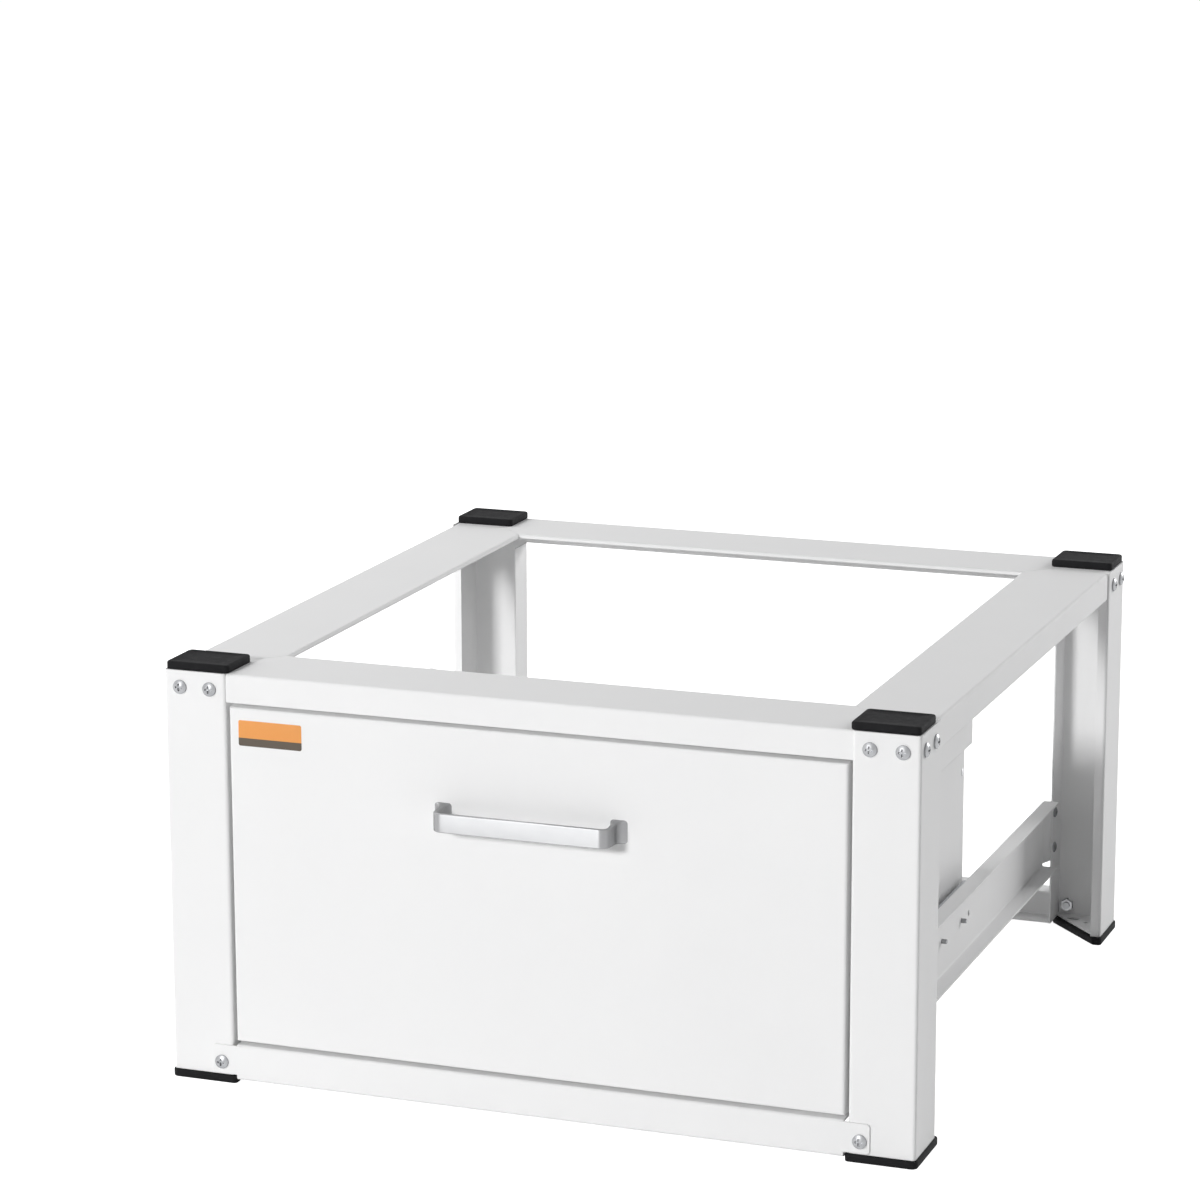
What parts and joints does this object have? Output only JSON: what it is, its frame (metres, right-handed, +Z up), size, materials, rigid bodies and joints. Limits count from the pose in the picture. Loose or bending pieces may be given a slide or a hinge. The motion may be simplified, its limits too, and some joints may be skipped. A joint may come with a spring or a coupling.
{
  "type": "washer pedestal drawer",
  "caption": "White sheet-steel stand for a front-loading washing machine, with an open top frame, rubber pads and a full-width drawer on telescopic slides.",
  "frame": {"origin": "on the floor, at the centre of the footprint that the whole stand covers, handle and screw heads included", "axes": "+X to the right seen from the drawer's front, +Y to the rear, +Z up; the drawer opens towards -Y"},
  "size_m": [0.6362, 0.6906, 0.35],
  "materials": {
    "white_steel": "white powder coat, satin",
    "black_rubber": "matte",
    "zinc_screws": "bright zinc",
    "zinc_nuts": "zinc",
    "slide_steel": "zinc plated, rolled",
    "cage_steel": "pressed",
    "ball_steel": "polished",
    "buffer_plastic": "moulded",
    "bright_handle": "ground along the strap, satin",
    "orange_sticker": "printed film, plain two-tone"
  },
  "bodies": {
    "frame": {"leg_front_left": "white_steel", "leg_front_right": "white_steel", "leg_rear_left": "white_steel", "leg_rear_right": "white_steel", "top_beam_front": "white_steel", "top_beam_rear": "white_steel", "top_beam_left": "white_steel", "top_beam_right": "white_steel", "lower_beam_front": "white_steel", "lower_beam_rear": "white_steel", "side_rail_left": "white_steel", "side_rail_right": "white_steel", "top_pad_front_left": "black_rubber", "top_pad_front_right": "black_rubber", "top_pad_rear_left": "black_rubber", "top_pad_rear_right": "black_rubber", "foot_pad_front_left": "black_rubber", "foot_pad_front_right": "black_rubber", "foot_pad_rear_left": "black_rubber", "foot_pad_rear_right": "black_rubber", "corner_screws": "zinc_screws", "corner_nuts": "zinc_nuts", "lower_beam_screws": "zinc_screws", "lower_beam_nuts": "zinc_nuts", "rail_screws": "zinc_screws", "rail_nuts": "zinc_nuts", "slide_outer_left": "slide_steel", "slide_outer_right": "slide_steel", "slide_outer_screws": "zinc_screws", "slide_buffers": "buffer_plastic"},
    "drawer": {"drawer_front": "white_steel", "drawer_liner": "white_steel", "drawer_side_left": "white_steel", "drawer_side_right": "white_steel", "drawer_back": "white_steel", "drawer_bottom": "white_steel", "drawer_screws": "zinc_screws", "drawer_nuts": "zinc_nuts", "drawer_rivets": "zinc_nuts", "handle": "bright_handle", "handle_screws": "zinc_screws", "slide_inner_left": "slide_steel", "slide_inner_right": "slide_steel", "slide_inner_screws": "zinc_screws", "sticker": "orange_sticker"},
    "slide_middle_left": {"slide_middle_left": "slide_steel"},
    "outer_cage_left": {"outer_cage_left": "cage_steel", "outer_balls_left": "ball_steel"},
    "inner_cage_left": {"inner_cage_left": "cage_steel", "inner_balls_left": "ball_steel"},
    "slide_middle_right": {"slide_middle_right": "slide_steel"},
    "outer_cage_right": {"outer_cage_right": "cage_steel", "outer_balls_right": "ball_steel"},
    "inner_cage_right": {"inner_cage_right": "cage_steel", "inner_balls_right": "ball_steel"}
  },
  "joints": [
    {"name": "drawer_slide", "type": "slide", "parent": "frame", "child": "drawer", "axis": [0, -1, 0], "range_m": [0, 0.34]},
    {"name": "slide_middle_left_slide", "type": "slide", "parent": "frame", "child": "slide_middle_left", "axis": [0, -1, 0], "range_m": [0, 0.17]},
    {"name": "outer_cage_left_slide", "type": "slide", "parent": "frame", "child": "outer_cage_left", "axis": [0, -1, 0], "range_m": [0, 0.085]},
    {"name": "inner_cage_left_slide", "type": "slide", "parent": "frame", "child": "inner_cage_left", "axis": [0, -1, 0], "range_m": [0, 0.255]},
    {"name": "slide_middle_right_slide", "type": "slide", "parent": "frame", "child": "slide_middle_right", "axis": [0, -1, 0], "range_m": [0, 0.17]},
    {"name": "outer_cage_right_slide", "type": "slide", "parent": "frame", "child": "outer_cage_right", "axis": [0, -1, 0], "range_m": [0, 0.085]},
    {"name": "inner_cage_right_slide", "type": "slide", "parent": "frame", "child": "inner_cage_right", "axis": [0, -1, 0], "range_m": [0, 0.255]}
  ],
  "couplings": [
    {"joint": "slide_middle_left_slide", "follows": "drawer_slide", "ratio": 0.5},
    {"joint": "outer_cage_left_slide", "follows": "drawer_slide", "ratio": 0.25},
    {"joint": "inner_cage_left_slide", "follows": "drawer_slide", "ratio": 0.75},
    {"joint": "slide_middle_right_slide", "follows": "drawer_slide", "ratio": 0.5},
    {"joint": "outer_cage_right_slide", "follows": "drawer_slide", "ratio": 0.25},
    {"joint": "inner_cage_right_slide", "follows": "drawer_slide", "ratio": 0.75}
  ]
}
